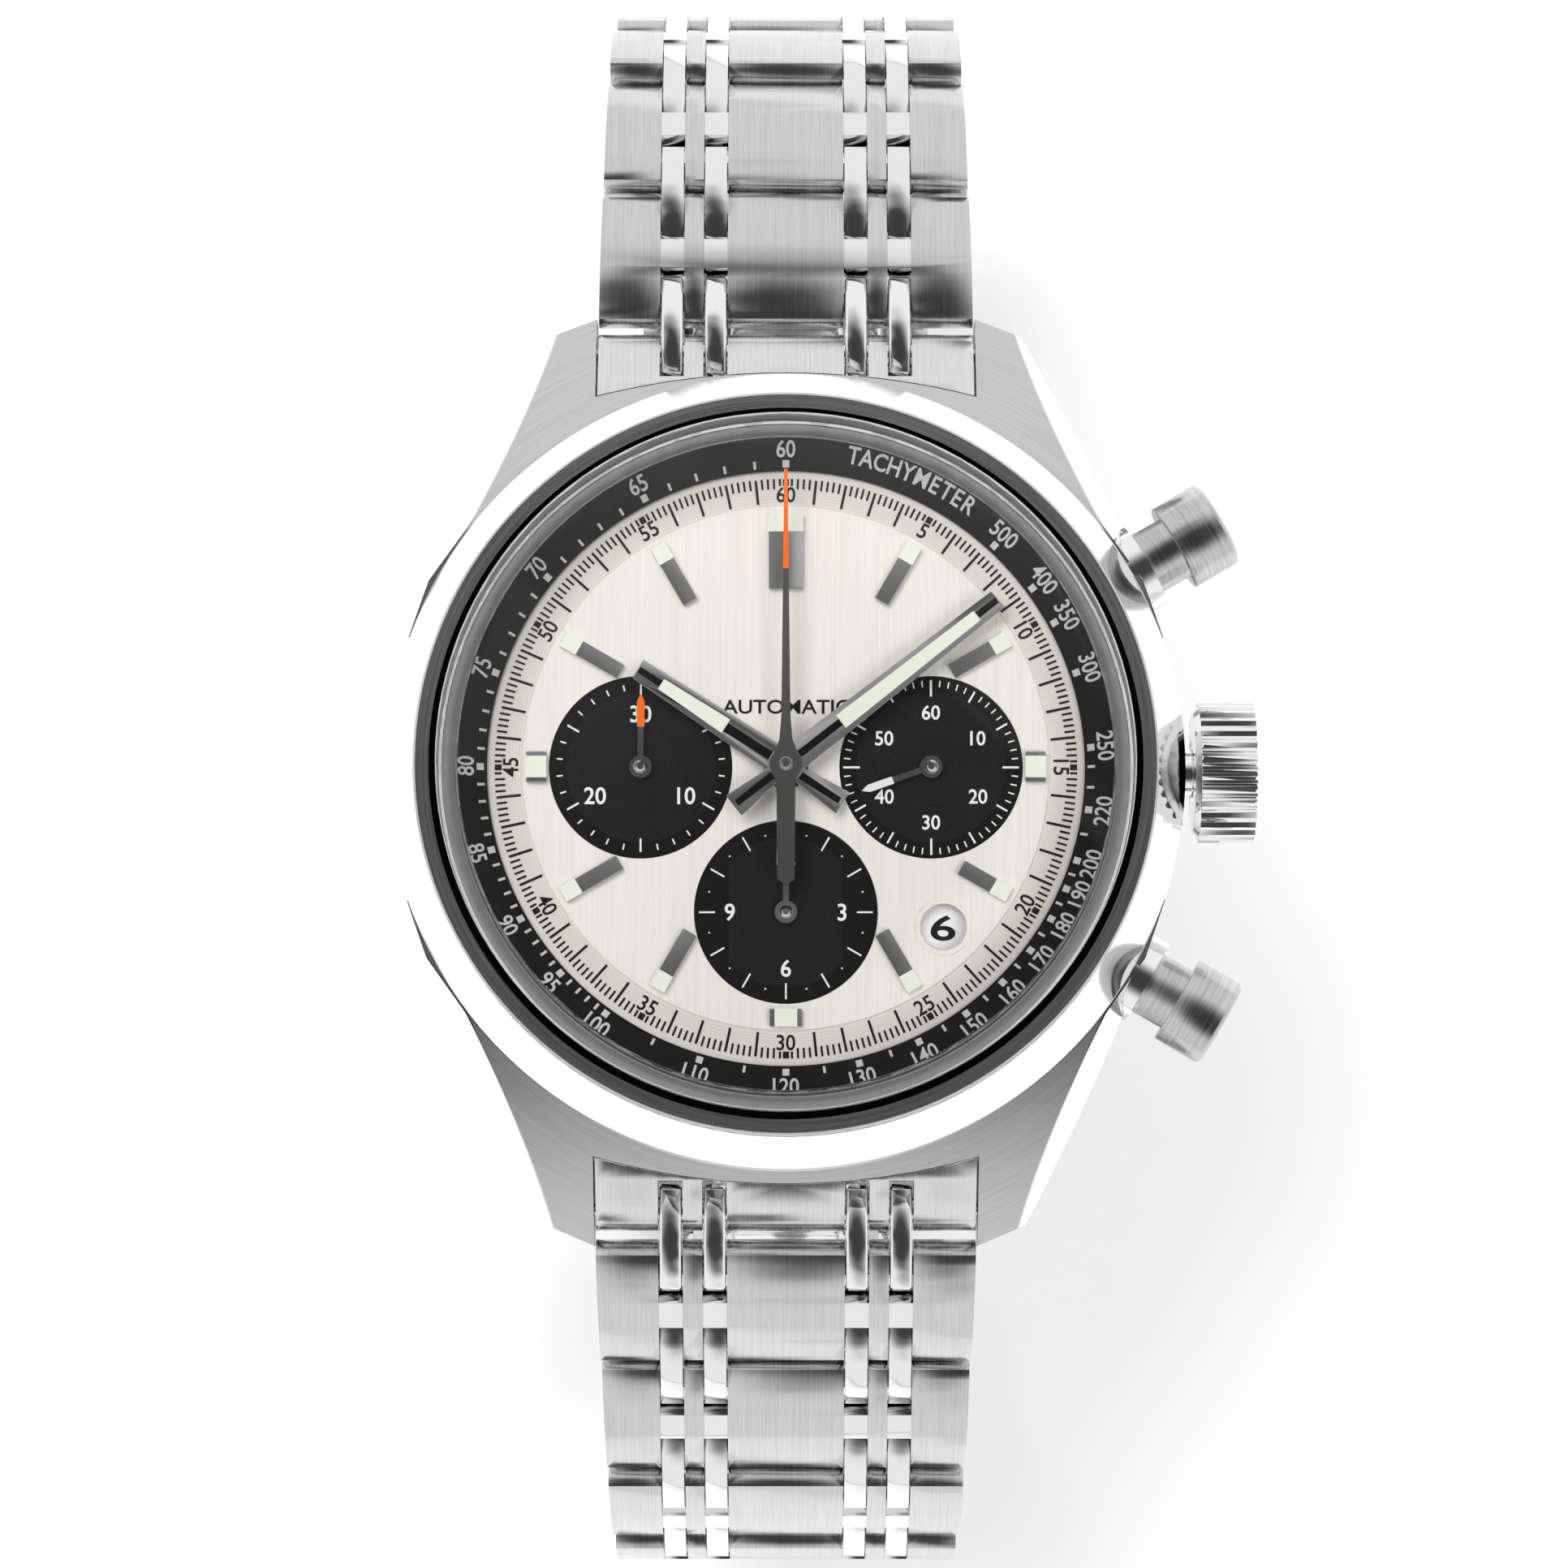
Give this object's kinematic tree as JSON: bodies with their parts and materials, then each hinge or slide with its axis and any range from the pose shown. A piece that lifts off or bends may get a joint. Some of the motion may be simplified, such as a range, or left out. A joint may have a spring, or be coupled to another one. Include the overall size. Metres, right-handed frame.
{
  "type": "chronograph wristwatch",
  "caption": "Round steel chronograph with subsidiary dials, crown, push-pieces and a closed tapering link bracelet on a folding clasp.",
  "frame": {"origin": "centre of the clasp cover's outside face, under the dial's axis", "axes": "+Z out of the dial, +Y to 12 o'clock, +X to 3 o'clock and the crown"},
  "size_m": [0.0466, 0.0885, 0.0537],
  "materials": {
    "case_steel": "brushed",
    "polished_steel": "polished",
    "pusher_steel": "circular brushed",
    "bezel_grey": "circular brushed dark coating",
    "crystal_glass": "clear",
    "black_rubber": "matte",
    "ring_black": "matte with pale printed scale",
    "dial_cream": "fine vertical brushing",
    "subdial_black": "fine circular grooves",
    "hand_orange": "lacquered",
    "hand_white": "lacquered",
    "date_white": "matte",
    "bridge_nickel": "striped nickel",
    "plate_brass": "satin",
    "blue_steel": "heat blued",
    "ruby": "clear red",
    "bracelet_steel": "brushed links, polished connectors"
  },
  "bodies": {
    "case": {"case_middle": "case_steel", "bezel": "bezel_grey", "crystal": "crystal_glass", "gaskets": "black_rubber", "tachymeter_ring": "ring_black", "case_back": "case_steel", "case_back_crystal": "crystal_glass", "case_tubes": "polished_steel", "movement_ring": "polished_steel", "dial": "dial_cream", "subdial_discs": "subdial_black", "hour_markers": "polished_steel", "mainplate": "plate_brass", "train_bridge": "bridge_nickel", "balance_cock": "bridge_nickel", "bridge_screws": "blue_steel", "bridge_jewels": "ruby", "end_links": "case_steel", "end_connectors": "polished_steel", "spring_bars": "polished_steel"},
    "row_12_1": {"row_12_1": "bracelet_steel"},
    "row_12_2": {"row_12_2": "bracelet_steel"},
    "row_12_3": {"row_12_3": "bracelet_steel"},
    "row_12_4": {"row_12_4": "bracelet_steel"},
    "row_12_5": {"row_12_5": "bracelet_steel"},
    "row_12_6": {"row_12_6": "bracelet_steel"},
    "row_12_7": {"row_12_7": "bracelet_steel"},
    "row_12_8": {"row_12_8": "bracelet_steel"},
    "row_6_1": {"row_6_1": "bracelet_steel"},
    "row_6_2": {"row_6_2": "bracelet_steel"},
    "row_6_3": {"row_6_3": "bracelet_steel"},
    "row_6_4": {"row_6_4": "bracelet_steel"},
    "row_6_5": {"row_6_5": "bracelet_steel"},
    "row_6_6": {"row_6_6": "bracelet_steel"},
    "row_6_7": {"row_6_7": "bracelet_steel"},
    "clasp_inner_blade": {"clasp_inner_blade": "polished_steel"},
    "clasp_outer_blade": {"clasp_outer_blade": "polished_steel"},
    "clasp_cover": {"clasp_cover": "case_steel"},
    "clasp_button_left": {"clasp_button_left": "polished_steel"},
    "clasp_button_right": {"clasp_button_right": "polished_steel"},
    "winding_stem": {"winding_stem": "polished_steel"},
    "crown": {"crown": "polished_steel"},
    "start_stop_pusher": {"start_stop_pusher": "pusher_steel"},
    "reset_pusher": {"reset_pusher": "pusher_steel"},
    "hour_hand": {"hour_hand": "polished_steel"},
    "minute_hand": {"minute_hand": "polished_steel"},
    "chrono_seconds_hand": {"chrono_seconds_hand": "hand_orange"},
    "small_seconds_hand": {"small_seconds_hand": "hand_white"},
    "minute_counter_hand": {"minute_counter_hand": "hand_orange"},
    "hour_counter_hand": {"hour_counter_hand": "polished_steel"},
    "date_disc": {"date_disc": "date_white"},
    "mainspring_barrel": {"mainspring_barrel": "plate_brass"},
    "centre_wheel": {"centre_wheel": "plate_brass"},
    "third_wheel": {"third_wheel": "plate_brass"},
    "escape_wheel": {"escape_wheel": "bridge_nickel"},
    "pallet_fork": {"pallet_fork": "bridge_nickel"},
    "column_wheel": {"column_wheel": "bridge_nickel"},
    "rotor": {"rotor": "bridge_nickel"},
    "balance_wheel": {"balance_wheel": "plate_brass", "hairspring": "blue_steel"}
  },
  "joints": [
    {"name": "bend_12_1", "type": "hinge", "parent": "case", "child": "row_12_1", "pos_m": [0, 0.02623, 0.04189], "axis": [1, 0, 0], "range_deg": [0, 8]},
    {"name": "bend_12_2", "type": "hinge", "parent": "row_12_1", "child": "row_12_2", "pos_m": [0, 0.03379, 0.04042], "axis": [1, 0, 0], "range_deg": [0, 23]},
    {"name": "bend_12_3", "type": "hinge", "parent": "row_12_2", "child": "row_12_3", "pos_m": [0, 0.04039, 0.03645], "axis": [1, 0, 0], "range_deg": [0, 35]},
    {"name": "bend_12_4", "type": "hinge", "parent": "row_12_3", "child": "row_12_4", "pos_m": [0, 0.04389, 0.02959], "axis": [1, 0, 0], "range_deg": [0, 26]},
    {"name": "bend_12_5", "type": "hinge", "parent": "row_12_4", "child": "row_12_5", "pos_m": [0, 0.04442, 0.02191], "axis": [1, 0, 0], "range_deg": [0, 24.2]},
    {"name": "bend_12_6", "type": "hinge", "parent": "row_12_5", "child": "row_12_6", "pos_m": [0, 0.04215, 0.01456], "axis": [1, 0, 0], "range_deg": [0, 24.2]},
    {"name": "bend_12_7", "type": "hinge", "parent": "row_12_6", "child": "row_12_7", "pos_m": [0, 0.03736, 0.00852], "axis": [1, 0, 0], "range_deg": [0, 24.2]},
    {"name": "bend_12_8", "type": "hinge", "parent": "row_12_7", "child": "row_12_8", "pos_m": [0, 0.03072, 0.00463], "axis": [1, 0, 0], "range_deg": [0, 24.2]},
    {"name": "bend_6_1", "type": "hinge", "parent": "case", "child": "row_6_1", "pos_m": [0, -0.02623, 0.04189], "axis": [-1, 0, 0], "range_deg": [0, 35]},
    {"name": "bend_6_2", "type": "hinge", "parent": "row_6_1", "child": "row_6_2", "pos_m": [0, -0.0323, 0.03715], "axis": [-1, 0, 0], "range_deg": [0, 6]},
    {"name": "bend_6_3", "type": "hinge", "parent": "row_6_2", "child": "row_6_3", "pos_m": [0, -0.03811, 0.0321], "axis": [-1, 0, 0], "range_deg": [0, 28]},
    {"name": "bend_6_4", "type": "hinge", "parent": "row_6_3", "child": "row_6_4", "pos_m": [0, -0.04124, 0.02506], "axis": [-1, 0, 0], "range_deg": [0, 26]},
    {"name": "bend_6_5", "type": "hinge", "parent": "row_6_4", "child": "row_6_5", "pos_m": [0, -0.04138, 0.01736], "axis": [-1, 0, 0], "range_deg": [0, 28.4]},
    {"name": "bend_6_6", "type": "hinge", "parent": "row_6_5", "child": "row_6_6", "pos_m": [0, -0.0382, 0.01035], "axis": [-1, 0, 0], "range_deg": [0, 28.4]},
    {"name": "bend_6_7", "type": "hinge", "parent": "row_6_6", "child": "row_6_7", "pos_m": [0, -0.03232, 0.00537], "axis": [-1, 0, 0], "range_deg": [0, 28.4]},
    {"name": "clasp_to_bracelet", "type": "hinge", "parent": "row_6_7", "child": "clasp_inner_blade", "pos_m": [0, -0.02488, 0.0034], "axis": [-1, 0, 0], "range_deg": [0, 17.9]},
    {"name": "blades_unfold", "type": "hinge", "parent": "clasp_inner_blade", "child": "clasp_outer_blade", "pos_m": [0, 0.01862, 0.00263], "axis": [1, 0, 0], "range_deg": [0, 120]},
    {"name": "cover_opens", "type": "hinge", "parent": "clasp_outer_blade", "child": "clasp_cover", "pos_m": [0, -0.02088, 0.0021], "axis": [-1, 0, 0], "range_deg": [0, 130]},
    {"name": "press_left", "type": "slide", "parent": "clasp_cover", "child": "clasp_button_left", "axis": [1, 0, 0], "range_m": [0, 0.0005], "stiffness_N_per_m": 1500, "springref_m": -0.0006},
    {"name": "press_right", "type": "slide", "parent": "clasp_cover", "child": "clasp_button_right", "axis": [-1, 0, 0], "range_m": [0, 0.0005], "stiffness_N_per_m": 1500, "springref_m": -0.0006},
    {"name": "stem_pull", "type": "slide", "parent": "case", "child": "winding_stem", "axis": [1, 0, 0], "range_m": [0, 0.0012]},
    {"name": "crown_turn", "type": "hinge", "parent": "winding_stem", "child": "crown", "pos_m": [0.023, 0, 0.0458], "axis": [1, 0, 0], "continuous": true},
    {"name": "push_start_stop", "type": "slide", "parent": "case", "child": "start_stop_pusher", "axis": [-0.8643, -0.503, 0], "range_m": [0, 0.0012], "stiffness_N_per_m": 1800, "springref_m": -0.0008},
    {"name": "push_reset", "type": "slide", "parent": "case", "child": "reset_pusher", "axis": [-0.8643, 0.503, 0], "range_m": [0, 0.0012], "stiffness_N_per_m": 1800, "springref_m": -0.0008},
    {"name": "minute_turn", "type": "hinge", "parent": "case", "child": "minute_hand", "pos_m": [0, 0, 0.0448], "axis": [0, 0, 1], "continuous": true},
    {"name": "hour_turn", "type": "hinge", "parent": "case", "child": "hour_hand", "pos_m": [0, 0, 0.0448], "axis": [0, 0, 1], "continuous": true},
    {"name": "chrono_turn", "type": "hinge", "parent": "case", "child": "chrono_seconds_hand", "pos_m": [0, 0, 0.0448], "axis": [0, 0, 1], "continuous": true},
    {"name": "minute_counter_turn", "type": "hinge", "parent": "case", "child": "minute_counter_hand", "pos_m": [-0.0077, 0, 0.0448], "axis": [0, 0, 1], "continuous": true},
    {"name": "hour_counter_turn", "type": "hinge", "parent": "case", "child": "hour_counter_hand", "pos_m": [0, -0.0077, 0.0448], "axis": [0, 0, 1], "continuous": true},
    {"name": "seconds_turn", "type": "hinge", "parent": "case", "child": "small_seconds_hand", "pos_m": [0.0077, 0, 0.0448], "axis": [0, 0, 1], "continuous": true},
    {"name": "third_turn", "type": "hinge", "parent": "case", "child": "third_wheel", "pos_m": [0.00404, 0.00133, 0.0448], "axis": [0, 0, 1], "continuous": true},
    {"name": "centre_turn", "type": "hinge", "parent": "case", "child": "centre_wheel", "pos_m": [0, 0, 0.0448], "axis": [0, 0, 1], "continuous": true},
    {"name": "barrel_turn", "type": "hinge", "parent": "case", "child": "mainspring_barrel", "pos_m": [-0.0045, 0.00405, 0.0448], "axis": [0, 0, 1], "continuous": true},
    {"name": "escape_turn", "type": "hinge", "parent": "case", "child": "escape_wheel", "pos_m": [0.0096, -0.00226, 0.0448], "axis": [0, 0, 1], "continuous": true},
    {"name": "rotor_turn", "type": "hinge", "parent": "case", "child": "rotor", "pos_m": [0, 0, 0.0448], "axis": [0, 0, 1], "continuous": true},
    {"name": "column_turn", "type": "hinge", "parent": "case", "child": "column_wheel", "pos_m": [-0.0046, -0.0084, 0.0448], "axis": [0, 0, 1], "continuous": true},
    {"name": "date_turn", "type": "hinge", "parent": "case", "child": "date_disc", "pos_m": [0, 0, 0.0448], "axis": [0, 0, 1], "continuous": true},
    {"name": "fork_rock", "type": "hinge", "parent": "case", "child": "pallet_fork", "pos_m": [0.0087, -0.00486, 0.0448], "axis": [0, 0, 1], "range_deg": [-5, 5]},
    {"name": "balance_swing", "type": "hinge", "parent": "case", "child": "balance_wheel", "pos_m": [0.0056, -0.00776, 0.0448], "axis": [0, 0, 1], "range_deg": [-140, 140], "stiffness_Nm_per_rad": 0.000002}
  ],
  "couplings": [
    {"joint": "hour_turn", "follows": "minute_turn", "ratio": 0.083333},
    {"joint": "minute_counter_turn", "follows": "chrono_turn", "ratio": 0.033333},
    {"joint": "hour_counter_turn", "follows": "chrono_turn", "ratio": 0.0013889},
    {"joint": "third_turn", "follows": "seconds_turn", "ratio": -0.13333},
    {"joint": "centre_turn", "follows": "seconds_turn", "ratio": 0.016667},
    {"joint": "barrel_turn", "follows": "seconds_turn", "ratio": -0.002381},
    {"joint": "escape_turn", "follows": "seconds_turn", "ratio": -12}
  ]
}
